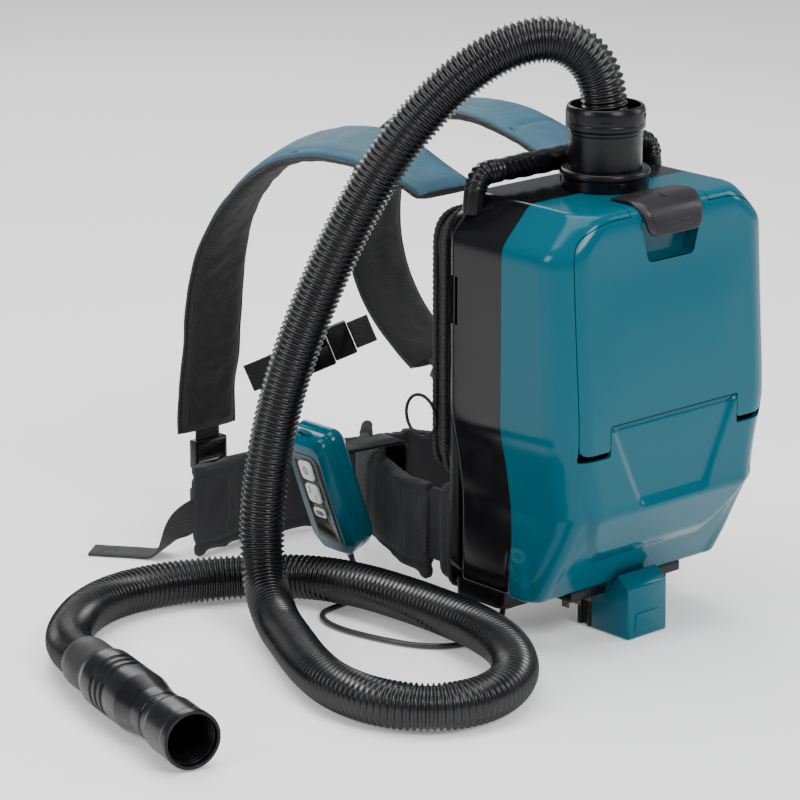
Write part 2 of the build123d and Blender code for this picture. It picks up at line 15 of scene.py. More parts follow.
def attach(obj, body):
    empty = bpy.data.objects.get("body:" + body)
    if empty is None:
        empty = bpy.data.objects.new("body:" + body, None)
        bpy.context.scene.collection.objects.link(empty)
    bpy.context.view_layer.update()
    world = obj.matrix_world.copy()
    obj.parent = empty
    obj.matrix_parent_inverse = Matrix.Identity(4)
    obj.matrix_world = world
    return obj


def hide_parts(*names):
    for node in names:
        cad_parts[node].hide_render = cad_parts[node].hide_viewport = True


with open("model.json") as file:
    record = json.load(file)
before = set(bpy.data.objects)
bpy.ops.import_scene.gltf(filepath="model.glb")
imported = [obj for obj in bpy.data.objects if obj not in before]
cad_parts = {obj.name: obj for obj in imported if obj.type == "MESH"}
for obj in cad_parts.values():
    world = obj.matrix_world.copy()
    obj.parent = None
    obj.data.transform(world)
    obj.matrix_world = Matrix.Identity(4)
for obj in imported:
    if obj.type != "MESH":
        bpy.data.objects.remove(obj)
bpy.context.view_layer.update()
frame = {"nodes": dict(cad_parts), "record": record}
nodes = frame["nodes"]
scene = bpy.context.scene
MM = 0.001
UP = (0, 0, 1)
slot_of = {s["node"]: s["material_slot"] for s in frame["record"]["subparts"]}
body_of = {n: b for b, names in frame["record"]["behaviour"]["bodies"].items() for n in names}


# ---- camera and light
def add_object(name, data, place=(0, 0, 0)):
    obj = bpy.data.objects.new(name, data)
    obj.location = place
    scene.collection.objects.link(obj)
    return obj


def discard(*objects):
    for obj in objects:
        bpy.data.objects.remove(obj)


camera = bpy.data.cameras.new("view")
camera.lens = 166.5
camera.sensor_width = 36
scene.camera = add_object("view", camera, (-1.97479, -1.93207, 0.99194))
scene.camera.rotation_euler = (radians(73.7), 0, radians(-42))


def softbox(name, place, aim, size, power):
    lamp = bpy.data.lights.new(name, "AREA")
    lamp.shape = "RECTANGLE"
    lamp.size, lamp.size_y = size
    lamp.energy = power
    obj = add_object(name, lamp, place)
    obj.rotation_euler = (Vector(aim) - Vector(place)).to_track_quat("-Z", "Y").to_euler()


softbox("key", (-0.3, -2.3, 2.1), (0, 0, 0.2), (1.0, 1.0), 62)
softbox("side", (-2.5, 0.5, 1.5), (-0.1, 0.2, 0.2), (0.8, 1.5), 34)
softbox("fill", (2.2, -1.0, 1.3), (0, 0, 0.2), (0.9, 1.4), 20)
softbox("top", (-0.1, 0.3, 2.4), (0, 0.1, 0), (2.0, 2.0), 62)
softbox("rim", (0.9, 2.3, 1.6), (0, 0.1, 0.2), (1.4, 1.0), 24)

world = bpy.data.worlds.new("studio")
world.use_nodes = True
sky = world.node_tree.nodes["Background"].inputs
sky["Color"].default_value = (0.93, 0.95, 0.97, 1)
sky["Strength"].default_value = 0.36
scene.world = world


# ---- procedural materials
class Look:
    """A Principled material with a few shorthand ways to wire its textures."""

    def __init__(self, name, rough, **sockets):
        self.mat = bpy.data.materials.new(name)
        self.mat.use_nodes = True
        self.tree = self.mat.node_tree
        self.bsdf = self.tree.nodes["Principled BSDF"]
        self.put(self.bsdf, Roughness=rough, **sockets)
        self.coords = self.node("ShaderNodeTexCoord", "Object")

    def put(self, node, **settings):
        """Fill a node. A setting is a socket's value, an output to link to it, or an attribute."""
        for key, value in settings.items():
            socket = node.inputs.get(key.replace("_", " "))
            if socket is None:
                setattr(node, key, value)
            elif isinstance(value, bpy.types.NodeSocket):
                self.tree.links.new(value, socket)
            else:
                socket.default_value = value

    def node(self, kind, output=0, **settings):
        """The output of a new node."""
        made = self.tree.nodes.new(kind)
        self.put(made, **settings)
        return made.outputs[output]

    def noise(self, scale, detail=3.0):
        return self.node("ShaderNodeTexNoise", "Fac", Scale=scale, Detail=detail,
                         Vector=self.coords)

    def bands(self, axis, pitch):
        """Sine bands along one axis, one every pitch millimetres."""
        return self.node("ShaderNodeTexWave", "Fac", bands_direction=axis,
                         Scale=2 * pi / (20 * pitch * MM), Vector=self.coords)

    def maths(self, operation, a, b):
        made = self.tree.nodes.new("ShaderNodeMath")
        made.operation = operation
        for socket, value in zip(made.inputs, (a, b)):
            if isinstance(value, bpy.types.NodeSocket):
                self.tree.links.new(value, socket)
            else:
                socket.default_value = value
        return made.outputs[0]

    def ramp(self, source, low, high, start=0.0, end=1.0):
        return self.node("ShaderNodeMapRange", Value=source, From_Min=start, From_Max=end,
                         To_Min=low, To_Max=high)

    def colour(self, source, colour, low, high):
        """Base colour that runs between two multiples of a colour."""
        made = self.tree.nodes.new("ShaderNodeMix")
        made.data_type = "RGBA"
        # in a colour mix, inputs 6 and 7 are A and B, and output 2 is the result
        for index, factor in ((6, low), (7, high)):
            made.inputs[index].default_value = (*[c * factor for c in colour], 1)
        self.tree.links.new(source, made.inputs[0])
        self.put(self.bsdf, Base_Color=made.outputs[2])

    def rough(self, source, low, high):
        self.put(self.bsdf, Roughness=self.ramp(source, low, high, 0.3, 0.7))

    def bump(self, source, height_mm):
        self.put(self.bsdf, Normal=self.node("ShaderNodeBump", Strength=1.0,
                                             Distance=height_mm * MM, Height=source))


def moulded(name, colour, rough, spread, grain, shine=0.5):
    """Moulded plastic: faint colour drift, satin grain, and paler rubbed edges."""
    look = Look(name, rough, Specular_IOR_Level=shine)
    drift = look.noise(14)
    edge = look.ramp(look.node("ShaderNodeNewGeometry", "Pointiness"), 0, 0.35, 0.52, 0.6)
    look.colour(look.maths("ADD", look.maths("MULTIPLY", drift, 0.6), edge),
                colour, 1 - spread, 1 + spread)
    look.rough(look.noise(45), rough * 0.8, rough * 1.25)
    look.bump(look.noise(900, 2), grain)
    return look.mat


def woven(name, colour, pitch, height, rough, sheen, folds):
    """Cloth: crossed threads in all three directions over soft, uneven folds."""
    look = Look(name, rough, Sheen_Weight=sheen, Sheen_Roughness=0.5)
    threads = look.maths("MULTIPLY", look.bands("X", pitch), look.bands("Y", pitch))
    threads = look.maths("ADD", threads, look.maths("MULTIPLY", look.bands("Z", pitch), 0.6))
    cloud = look.noise(38, 4)
    tone = look.maths("ADD", look.maths("MULTIPLY", threads, 0.4),
                      look.maths("MULTIPLY", cloud, 0.8))
    look.colour(look.ramp(tone, 0, 1, 0.2, 1.1), colour, 0.62, 1.3)
    look.bump(look.maths("ADD", threads, look.maths("MULTIPLY", cloud, folds)), height)
    return look.mat


def strap_web(name, colour):
    """Narrow woven strap with its ribs across the web."""
    look = Look(name, 0.7, Sheen_Weight=0.08)
    ribs = look.maths("ADD", look.bands("DIAGONAL", 1.6), look.bands("Z", 2.2))
    look.colour(look.ramp(ribs, 0, 1, 0.3, 1.7), colour, 0.6, 1.7)
    look.bump(ribs, 0.3)
    return look.mat


def metal(name, colour, rough):
    look = Look(name, rough, Metallic=1.0)
    brushed = look.noise(220, 6)
    look.colour(brushed, colour, 0.75, 1)
    look.rough(brushed, rough * 0.7, rough * 1.5)
    look.bump(look.noise(600), 0.02)
    return look.mat


def speckled(name, colour, cell=420, depth=0.5):
    """Open-cell foam, board or filter cloth."""
    look = Look(name, 0.9)
    cells = look.node("ShaderNodeTexVoronoi", "Distance", Scale=cell, Vector=look.coords)
    look.colour(cells, colour, 1.1, 0.55)
    look.bump(cells, depth)
    return look.mat


TEAL, TEAL_CLOTH, BLACK = (0.0, 0.082, 0.12), (0.006, 0.07, 0.115), (0.004, 0.004, 0.005)
LOOKS = {
    moulded: {
        "teal_shell": (TEAL, 0.16, 0.06, 0.008, 0.2),
        "black_shell": (BLACK, 0.15, 0.2, 0.008, 0.28),
        "black_plastic": (BLACK, 0.28, 0.2, 0.02, 0.24),
        "grey_plastic": ((0.05, 0.05, 0.053), 0.45, 0.15, 0.03),
        "latch_plastic": ((0.012, 0.011, 0.013), 0.36, 0.15, 0.03, 0.35),
        "seal": ((0.012, 0.012, 0.012), 0.6, 0.2, 0.04),
        "board": ((0.01, 0.09, 0.04), 0.35, 0.25, 0.02),
        "white_button": ((0.62, 0.63, 0.63), 0.45, 0.06, 0.02),
        "hose_plastic": ((0.005, 0.005, 0.006), 0.27, 0.15, 0.0, 0.42),
        "cable": ((0.02, 0.02, 0.022), 0.42, 0.2, 0.03),
        "panel_black": ((0.011, 0.011, 0.012), 0.28, 0.2, 0.01),
        "print_grey": ((0.16, 0.17, 0.17), 0.5, 0.1, 0.01),
    },
    metal: {
        "steel": ((0.42, 0.42, 0.44), 0.3),
        # the contacts' metal colour is darkened as painted shade, because they sit in the shadow
        # under the casing
        "contacts": ((0.16, 0.13, 0.09), 0.45),
        "dark_wire": ((0.035, 0.035, 0.04), 0.35),
    },
    speckled: {
        "foam": ((0.03, 0.03, 0.034),),
        "bag": ((0.72, 0.71, 0.68), 700, 0.2),
        "card": ((0.42, 0.28, 0.14), 900, 0.1),
    },
    woven: {
        "teal_fabric": (TEAL_CLOTH, 1.3, 0.12, 0.6, 0.02, 1.2),
        "black_fabric": ((0.009, 0.009, 0.011), 1.6, 0.22, 0.82, 0.08, 1.5),
        "mesh_cloth": ((0.009, 0.009, 0.01), 1.7, 0.3, 0.88, 0.06, 1.6),
    },
    strap_web: {"webbing": ((0.007, 0.007, 0.008),)},
}
look = {name: kind(name, *settings) for kind, table in LOOKS.items()
        for name, settings in table.items()}
for name, node in nodes.items():
    node.data.materials.clear()
    node.data.materials.append(look["dark_wire" if name == "cord_keeper" else slot_of[name]])

floor = Look("floor", 0.55, Emission_Strength=0.2)
floor.colour(floor.noise(3), (1, 1, 1), 0.9, 0.93)
floor.bump(floor.noise(160), 0.02)
bpy.ops.mesh.primitive_plane_add(size=16, location=(0, 0, -0.0004))
ground = bpy.context.object
ground.name = "floor"
ground.data.materials.append(floor.mat)


# ---- meshes
def mesh_of(name, verts, faces):
    mesh = bpy.data.meshes.new(name)
    mesh.from_pydata([Vector(v) * MM for v in verts], [], faces)
    return mesh


def edit_mesh(mesh, *steps):
    bm = bmesh.new()
    bm.from_mesh(mesh)
    for step in steps:
        step(bm)
    bm.to_mesh(mesh)
    bm.free()


def face_outward(bm):
    bmesh.ops.recalc_face_normals(bm, faces=bm.faces)


def merge_flat(bm):
    """Weld doubled vertices and join the triangles of flat faces."""
    bmesh.ops.remove_doubles(bm, verts=bm.verts, dist=1e-6)
    bmesh.ops.dissolve_limit(bm, angle_limit=0.02, verts=bm.verts, edges=bm.edges)


def shade(mesh, angle):
    mesh.shade_smooth()
    mesh.set_sharp_from_angle(angle=radians(angle))


def finish_piece(obj, slot, body="machine", mats=None, smooth=38, node=None):
    """Outward normals, materials, shading, and what the piece rides on and replaces."""
    edit_mesh(obj.data, face_outward)
    obj.data.materials.clear()
    for mat in mats or [look[slot]]:
        obj.data.materials.append(mat)
    shade(obj.data, smooth)
    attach(obj, body)
    if node:
        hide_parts(node)
    return obj


def piece(name, verts, faces, slot, body="machine", **settings):
    """A new visible piece from vertices in millimetres. The settings are finish_piece's."""
    mesh = mesh_of(name, verts, faces)
    mesh.validate()
    return finish_piece(add_object(name, mesh), slot, body, **settings)


def baked(obj):
    """Apply the modifiers of an object to its mesh."""
    depsgraph = bpy.context.evaluated_depsgraph_get()
    mesh = bpy.data.meshes.new_from_object(obj.evaluated_get(depsgraph))
    obj.modifiers.clear()
    obj.data = mesh
    return obj


def modify(obj, kind, **settings):
    modifier = obj.modifiers.new(kind.lower(), kind)
    for key, value in settings.items():
        setattr(modifier, key, value)
    return modifier


def softened(obj, width):
    """Round the sharp edges of a piece by a width in millimetres."""
    modify(obj, "BEVEL", width=width * MM, segments=2, limit_method="ANGLE",
           angle_limit=radians(35), use_clamp_overlap=True)
    baked(obj)
    shade(obj.data, 50)
    return obj


def refine(node, width):
    """A CAD node's shape with rounded edges, in place of the node."""
    mesh = nodes[node].data.copy()
    edit_mesh(mesh, merge_flat)
    obj = add_object(node + "_skin", mesh)
    finish_piece(obj, slot_of[node], body_of[node], node=node)
    return softened(obj, width)


def ring_faces(rows, columns, closed_rows=False):
    """Quads between rings of vertices."""
    faces = []
    for r in range(rows if closed_rows else rows - 1):
        here, below = r * columns, (r + 1) % rows * columns
        for c in range(columns):
            nxt = (c + 1) % columns
            faces.append([here + c, here + nxt, below + nxt, below + c])
    return faces


def tube_faces(rows, columns):
    """Quads between rings of vertices, and a flat face over each end."""
    last = (rows - 1) * columns
    ends = [list(range(columns))[::-1], list(range(last, last + columns))]
    return ring_faces(rows, columns) + ends


def shifted(faces, base):
    return [[base + i for i in face] for face in faces]


def filleted(points, radii, steps=5):
    """A closed 2-D outline with its corners rounded."""
    count = len(points)
    radii = radii if isinstance(radii, (list, tuple)) else [radii] * count
    result = []
    for i, here in enumerate(points):
        here = Vector(here)
        before, after = Vector(points[i - 1]) - here, Vector(points[(i + 1) % count]) - here
        # neighbouring corners must not meet
        reach = min(radii[i], 0.48 * before.length, 0.48 * after.length)
        first, last = here + before.normalized() * reach, here + after.normalized() * reach
        for step in range(steps + 1):
            t = step / steps
            result.append(tuple(first * (1 - t) ** 2 + here * 2 * t * (1 - t) + last * t * t))
    return result


def oblong(u, v, width, height, radius, steps=5):
    """A rectangle with rounded corners, about its centre."""
    x, y = width / 2, height / 2
    corners = [(u - x, v - y), (u + x, v - y), (u + x, v + y), (u - x, v + y)]
    return filleted(corners, radius, steps)


def from_front(u, v, depth):
    return (u, -depth, v)


def from_above(u, v, depth):
    return (u, v, depth)


def local(origin, x_dir, z_dir):
    """Maps (u, v, w) on a plane to the part's frame."""
    z = Vector(z_dir).normalized()
    x = Vector(x_dir).normalized()
    y = z.cross(x)
    return lambda u, v, w: tuple(Vector(origin) + x * u + y * v + z * w)


def prism(outline, place, low, high):
    """Vertices and faces of an outline extruded between two levels by a mapping."""
    verts = [place(u, v, level) for level in (low, high) for u, v in outline]
    return verts, tube_faces(2, len(outline))


def cutter(outline, place, low, high):
    """A hidden solid for boolean cuts. It is discarded after use."""
    mesh = mesh_of("cutter", *prism(outline, place, low, high))
    edit_mesh(mesh, face_outward)
    return add_object("cutter", mesh)


def box_cutter(low, high):
    outline = [(low[0], low[1]), (high[0], low[1]), (high[0], high[1]), (low[0], high[1])]
    return cutter(outline, from_above, low[2], high[2])


def cut(obj, operation, *tools):
    for tool in tools:
        modify(obj, "BOOLEAN", operation=operation, object=tool, solver="EXACT")
        baked(obj)
    return obj


def slab(name, outline, place, low, high, slot, width=0.4, body="machine", **settings):
    """An extruded outline with its edges rounded."""
    verts, faces = prism(outline, place, low, high)
    return softened(piece(name, verts, faces, slot, body, **settings), width)


def lathe(name, profile, origin, axis, slot, radius=0.6, segments=96, body="machine", node=None):
    """A ring turned about an axis from its (radius, distance) outline."""
    turn = Vector(axis).normalized().to_track_quat("Z", "Y").to_matrix()
    outline = filleted(profile, radius, 3)
    verts = []
    for r, along in outline:
        for k in range(segments):
            angle = 2 * pi * k / segments
            verts.append(Vector(origin) + turn @ Vector((r * cos(angle), r * sin(angle), along)))
    faces = ring_faces(len(outline), segments, True)
    return piece(name, verts, faces, slot, body, smooth=40, node=node)


# ---- lines
def smooth_line(points, per=8):
    """Points along a quadratic B-spline with these control points."""
    controls = [Vector(p) for p in points]
    result = []
    last = len(controls) - 2
    for i in range(1, last + 1):
        first = controls[0] if i == 1 else (controls[i - 1] + controls[i]) / 2
        final = controls[-1] if i == last else (controls[i] + controls[i + 1]) / 2
        for step in range(per):
            t = step / per
            result.append(first * (1 - t) ** 2 + controls[i] * 2 * t * (1 - t) + final * t * t)
    return result + [controls[-1]]


def length_of(points):
    return sum((b - a).length for a, b in zip(points, points[1:]))


def sampled(points, distances):
    """Points at rising distances along a line."""
    lengths = [0.0]
    for a, b in zip(points, points[1:]):
        lengths.append(lengths[-1] + (b - a).length)
    result, at = [], 0
    for want in distances:
        while at < len(lengths) - 2 and lengths[at + 1] < want:
            at += 1
        span = lengths[at + 1] - lengths[at] or 1
        result.append(points[at].lerp(points[at + 1], (want - lengths[at]) / span))
    return result


def evenly(points, step):
    """The same line with points a fixed distance apart."""
    total = length_of(points)
    count = max(2, round(total / step))
    return sampled(points, [total * k / count for k in range(count + 1)])


def smooth_path(points, per, step):
    return evenly(smooth_line(points, per), step)


def carried(points, reach=1):
    """Stations that don't twist: (point, side, up, tangent over reach points each way)."""
    stations = []
    side = None
    last = len(points) - 1
    for i, here in enumerate(points):
        tangent = (points[min(i + reach, last)] - points[max(i - reach, 0)]).normalized()
        if side is None:
            side = tangent.orthogonal().normalized()
        side = (side - tangent * side.dot(tangent)).normalized()
        stations.append((here, side, tangent.cross(side), tangent))
    return stations


def circle(station, segments, radius):
    """A ring of points round a station. radius is a function of the angle."""
    here, side, up, _ = station
    angles = [2 * pi * k / segments for k in range(segments)]
    return [here + (side * cos(a) + up * sin(a)) * radius(a) for a in angles]


def swept(points, segments, radius):
    """Rings round a line. radius is a function of distance along it and angle."""
    verts, along = [], 0.0
    for i, station in enumerate(carried(points)):
        along += (points[i] - points[i - 1]).length if i else 0
        verts += circle(station, segments, lambda angle: radius(along, angle))
    return verts


def rod(name, points, radius, slot, segments=12, body="machine", node=None):
    """A closed round bar or piping along a line. radius may vary along it."""
    verts = swept(points, segments, radius if callable(radius) else lambda along, angle: radius)
    piece(name, verts, tube_faces(len(points), segments), slot, body, smooth=60, node=node)


STITCH, STITCH_GAP, THREAD, BEAD_SIDES = 2.8, 1.7, 0.42, 6


def stitches(name, lines, slot="webbing", mats=None):
    """Rows of sewn thread, each stitch a small bead that dips in at its ends."""
    verts, faces = [], []
    for line in lines:
        points = evenly([Vector(p) for p in line], STITCH + STITCH_GAP)
        for here, there in zip(points, points[1:]):
            along = (there - here).normalized()
            ring = [here + along * (STITCH * t) for t in (0, 0.25, 0.75, 1)]
            faces += shifted(tube_faces(len(ring), BEAD_SIDES), len(verts))
            for index, vert in enumerate(swept(ring, BEAD_SIDES, lambda s, a: THREAD)):
                at = index // BEAD_SIDES
                verts.append(ring[at] + (vert - ring[at]) * (0.35 if at in (0, 3) else 1))
    piece(name, verts, faces, slot, mats=mats, smooth=60)


def ease(low, high, x):
    t = min(1.0, max(0.0, (x - low) / (high - low)))
    return t * t * (3 - 2 * t)


def dip(distance, depth, width):
    """The profile of a sewn seam: deepest on its line."""
    return depth * exp(-(distance / width) ** 2)


# ---- hose and remote cable
def route(name, points, resolution):
    """A NURBS curve with the route's points as its control points."""
    curve = bpy.data.curves.new(name, "CURVE")
    curve.dimensions = "3D"
    curve.resolution_u = resolution
    spline = curve.splines.new("NURBS")
    spline.points.add(len(points) - 1)
    for target, point in zip(spline.points, points):
        target.co = (*(Vector(point) * MM), 1)
    spline.order_u = 3
    spline.use_endpoint_u = True
    return add_object(name, curve)


guide = route("hose_guide", [
    (0, 26, 388), (0, 26, 425), (-9.2, 33.7, 452), (-29, 50.4, 468), (-54, 71, 463),
    (-79.7, 92.8, 444), (-104, 113.4, 414), (-126.4, 132, 378), (-145.6, 148, 336),
    (-162.4, 162, 290), (-177, 174.5, 243), (-189, 185, 196), (-197.7, 192, 149),
    (-203, 196, 103), (-206, 196, 64), (-213, 182, 33), (-229, 150, 18.3), (-250, 108, 18.2),
    (-274, 60, 18.3), (-290, 12, 18.2), (-288, -37, 18.3), (-262, -74, 18.2), (-219, -84, 18.6),
    (-176, -66, 20.5), (-147, -28, 23.5), (-133, 18, 24.4), (-129, 66, 24.2), (-130, 112, 24.4),
    (-134, 157, 24.2), (-146, 200, 23), (-170, 237, 20), (-203, 264, 18.3), (-243, 280, 18.2),
    (-285, 283, 18.3), (-322, 271, 18.2), (-354, 248, 18.4), (-380, 220, 20.5),
    (-397.3, 187.3, 23.5), (-406.4, 148.4, 23.5),
], 64)
hose_line = [v.co.copy() / MM for v in bpy.data.meshes.new_from_object(guide).vertices]
discard(guide)
# it runs on inside the cuff's grip, where it is screwed in
SCREWED_IN = 22
hose_line.append(hose_line[-1] + (hose_line[-1] - hose_line[-2]).normalized() * SCREWED_IN)
hose_length = length_of(hose_line)
HOSE_SIDES, HOSE_BORE, RIB_PITCH = 36, 15.0, 4.6
# the last ribs are cut down a little to sit in the cuff
CUFF_DEPTH, CUFF_BORE = 24, 17.3
# one rib: place along it as a part of the pitch, and radius
RIB = [(0.0, 18.0), (0.12, 17.6), (0.26, 16.0), (0.5, 15.6), (0.74, 16.0), (0.88, 17.6)]
rib_count = round(hose_length / RIB_PITCH)
pitch = hose_length / rib_count
rib_rows = [((n + part) * pitch, radius) for n in range(rib_count) for part, radius in RIB]
rib_rows.append((hose_length, RIB[0][1]))
rows = sampled(hose_line, [along for along, _ in rib_rows])
verts = []
for (along, radius), station in zip(rib_rows, carried(rows, len(RIB))):
    reach = min(radius, CUFF_BORE) if along > hose_length - CUFF_DEPTH else radius
    verts += circle(station, HOSE_SIDES, lambda angle: reach)
inner_line = evenly(hose_line, 6)
base = len(verts)
faces = ring_faces(len(rows), HOSE_SIDES)
faces += [face[::-1] for face in shifted(ring_faces(len(inner_line), HOSE_SIDES), base)]
verts += swept(inner_line, HOSE_SIDES, lambda along, angle: HOSE_BORE)
# flat rims join the outside to the bore
for first, second in ((0, base), (base - HOSE_SIDES, len(verts) - HOSE_SIDES)):
    for k in range(HOSE_SIDES):
        after = (k + 1) % HOSE_SIDES
        faces.append([first + k, first + after, second + after, second + k])
hose = piece("ribbed_hose", verts, faces, "hose_plastic", smooth=180, node="hose")

cable = route("remote_cable", [
    (-97.23, 215, 30.96), (-94, 211, 14), (-101, 184, 3.2), (-135, 180, 2.4), (-165, 176, 2.5),
    (-176, 145, 2.4), (-168, 100, 2.5), (-152, 60, 2.4), (-122, 43, 2.5), (-92, 49, 3.2),
    (-75, 57, 9), (-70, 60, 27),
], 10)
cable.data.bevel_depth = 2.3 * MM
cable.data.bevel_resolution = 6
cable.data.use_fill_caps = True
cable.data.materials.append(look["cable"])
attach(cable, "machine")
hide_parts("remote_cord")


# ---- accessory cuff at the hose's free end
def cuff_part(name, profile, slot, node, radius=0.6):
    return lathe(name, profile, (-403, 163, 23.5), (-0.22686, -0.97393, 0), slot, radius,
                 node=node)


sleeve = cuff_part("cuff_collar", [(18.1, -6), (19.6, -6), (20.4, 0), (20.4, 29), (17.5, 29),
                                   (17.5, 16), (18.1, 16)], "seal", "cuff_sleeve")
grip = [(17.5, 29), (21.4, 29), (23.4, 37)]
for start in (52, 61, 70):
    grip += [(23.4, start), (22.0, start + 1.2), (22.0, start + 4), (23.4, start + 5.2)]
grip += [(23.4, 96), (19.8, 117), (19.8, 130), (19.0, 131.5), (19.0, 136), (17.5, 136)]
cuff_grip = cuff_part("cuff_grip", grip, "black_plastic", "cuff_body")
mouth = [(17.5, 136), (20.4, 136), (20.4, 140), (21.8, 145), (21.8, 170), (22.2, 172), (22.2, 180),
         (19.8, 180), (19.2, 178)]
for ring in range(5):
    mouth += [(19.2, 176 - 4 * ring), (18.2, 175 - 4 * ring), (18.2, 173.5 - 4 * ring)]
cuff_mouth = cuff_part("cuff_mouth_ring", mouth + [(17.6, 152)], "black_plastic", "cuff_tip", 0.4)
[tuple(p * MM) for p in evenly(hose_line, 5)]

# ---- casing shells
REAR, FOOT, TOP, WALL, REAR_RADIUS, SEAM_Y = 80.0, 42, 352, 3.2, 8.0, 20
INLET = (0, 26, 0)
# height, half width, front Y, front corner radius
CASING_ROWS = [
    (42, 98, -8, 14), (42, 101.5, -9.5, 16), (50, 102, -14, 16), (66, 102, -24, 18),
    (90, 102, -39, 24), (110, 102.5, -51, 28), (117, 103, -55.5, 28), (124, 104, -54, 28),
    (150, 108, -53.5, 28), (172, 113.5, -54, 28), (184, 115, -54, 28), (200, 115, -53.6, 28),
    (250, 115, -50, 28), (300, 115, -46.7, 28), (318, 115, -46, 28), (325, 112.5, -46, 28),
    (336, 101.5, -46, 27), (345, 92.5, -45, 26), (351, 86.5, -41, 24), (352, 82, -33, 22),
    (352, 60, -20, 12),
]


def relief(x, z):
    """How far the front face is set back at a point, to mould its panels."""
    a = abs(x)
    depth = 0.0
    if z < 188.2:
        # faceted panel that narrows downward from the lid's sill
        edge = 36 + 33 * (z - 118) / 70
        depth += 2.6 * ease(edge + 1.5, edge - 7, a) * ease(116, 127, z)
        # bright chamfer under the lid's sill
        depth += 2.4 * ease(184.6, 187.6, z) * ease(69, 67, a)
    # step round the bowl, above the skirt
    bowl = 76 + 92 * max(0.0, (a - 56) / 47) ** 1.7
    depth += 4.2 * ease(bowl + 7, bowl - 7, z) * ease(99, 84, a)
    # the lid is a little crowned
    depth -= 1.1 * ease(192, 235, z) * ease(310, 255, z) * ease(92, 50, a)
    return depth


def casing_ring(z, half, front, radius, inset, fine):
    """One closed section of the casing, from the back of its right side round the front."""
    half, front, rear, radius = half - inset, front + inset, REAR - inset, radius - inset
    small = REAR_RADIUS - inset
    across, round_corner, along = (120, 22, 34) if fine else (24, 6, 6)
    # centre, radius, first quarter turn, and the points of the straight run before each corner
    corners = ((half - radius, front + radius, radius, 0, along),
               (radius - half, front + radius, radius, -1, across),
               (small - half, rear - small, small, 2, along),
               (half - small, rear - small, small, 1, along))
    points, last = [], (half, rear - small)
    for x, y, size, quarter, run in corners:
        angles = [0.5 * pi * (quarter - k / round_corner) for k in range(round_corner + 1)]
        arc = [(x + size * cos(angle), y + size * sin(angle)) for angle in angles]
        step_x, step_y = (arc[0][0] - last[0]) / run, (arc[0][1] - last[1]) / run
        points += [(last[0] + step_x * k, last[1] + step_y * k) for k in range(run)]
        points += arc[:-1]
        last = arc[-1]
    verts = []
    for x, y in points:
        facing = ease(front + radius * 0.9, front + 1, y) if fine else 0
        # a rounded foot swells from the skirt at each side
        lobe = 2.6 * exp(-((y - 12) / 10) ** 4) * ease(86, 70, z) if fine and y < 40 else 0
        verts.append((x + (lobe if x > half - 3 else -lobe if x < 3 - half else 0),
                      y + facing * relief(x, z), z))
    return verts


def casing_surface(inset, fine):
    rows = smooth_path(CASING_ROWS, 10, 1.25 if fine else 7)
    low, high = FOOT + inset, TOP - inset
    verts = []
    for z, half, front, radius in rows:
        z = low + (z - FOOT) * (high - low) / (TOP - FOOT)
        verts += casing_ring(z, half, front, max(radius, inset + 2), inset, fine)
    return verts, tube_faces(len(rows), len(verts) // len(rows))


def shell(name):
    """The hollow casing: a fine outer surface and a plain inner one."""
    verts, faces = casing_surface(0, True)
    inner_verts, inner_faces = casing_surface(WALL, False)
    faces += [face[::-1] for face in shifted(inner_faces, len(verts))]
    return add_object(name, mesh_of(name, verts + inner_verts, faces))


def lid_cutter(grow, swing_room=0.0, corner=9):
    """The lid's outline with its legs, joined to its tongue on top."""
    half, leg, sill, inside = 100 + grow, 170 - grow - swing_room, 189.5 - grow, 69.5 - grow
    corners = [(-half, leg), (-inside, leg), (-inside, sill), (inside, sill), (inside, leg),
               (half, leg), (half, 331 + grow), (74, 346 + grow), (-74, 346 + grow),
               (-half, 331 + grow)]
    radii = [corner, 3, 2.5, 2.5, 3, corner, 18, 16, 16, 18]
    front = cutter(filleted(corners, radii, 7), from_front, 24, 70)
    wide, back = 42 + grow, -10 + grow
    tongue = [(-wide, -70), (wide, -70), (wide, back), (-wide, back)]
    top = cutter(filleted(tongue, [0.1, 0.1, 6, 6], 5), from_above, 338, 362)
    cut(front, "UNION", top)
    discard(top)
    return front


outer = shell("casing")
rear_box = box_cutter((-160, SEAM_Y, 0), (160, 120, 400))
front_box = box_cutter((-160, -120, 0), (160, SEAM_Y - 0.25, 400))
port = cutter([(31.8 * cos(pi * k / 36), INLET[1] + 31.8 * sin(pi * k / 36)) for k in range(72)],
              from_above, 340, 360)
vents = [box_cutter((-150, y - 1.5, 253), (150, y + 1.5, 291)) for y in (69.5, 75)]
# below its legs the lid needs room to swing down past the wall
lid_gap = lid_cutter(0.35, 4.3, 3)
lid_fill = lid_cutter(-0.35)

rear_shell = add_object("rear_shell", outer.data.copy())
cut(rear_shell, "INTERSECT", rear_box)
cut(rear_shell, "DIFFERENCE", port, *vents)
finish_piece(rear_shell, "black_shell", node="rear_casing")

front_shell = add_object("front_shell", outer.data.copy())
cut(front_shell, "INTERSECT", front_box)
cut(front_shell, "DIFFERENCE", port, lid_gap)
finish_piece(front_shell, "teal_shell", smooth=52, node="front_casing")

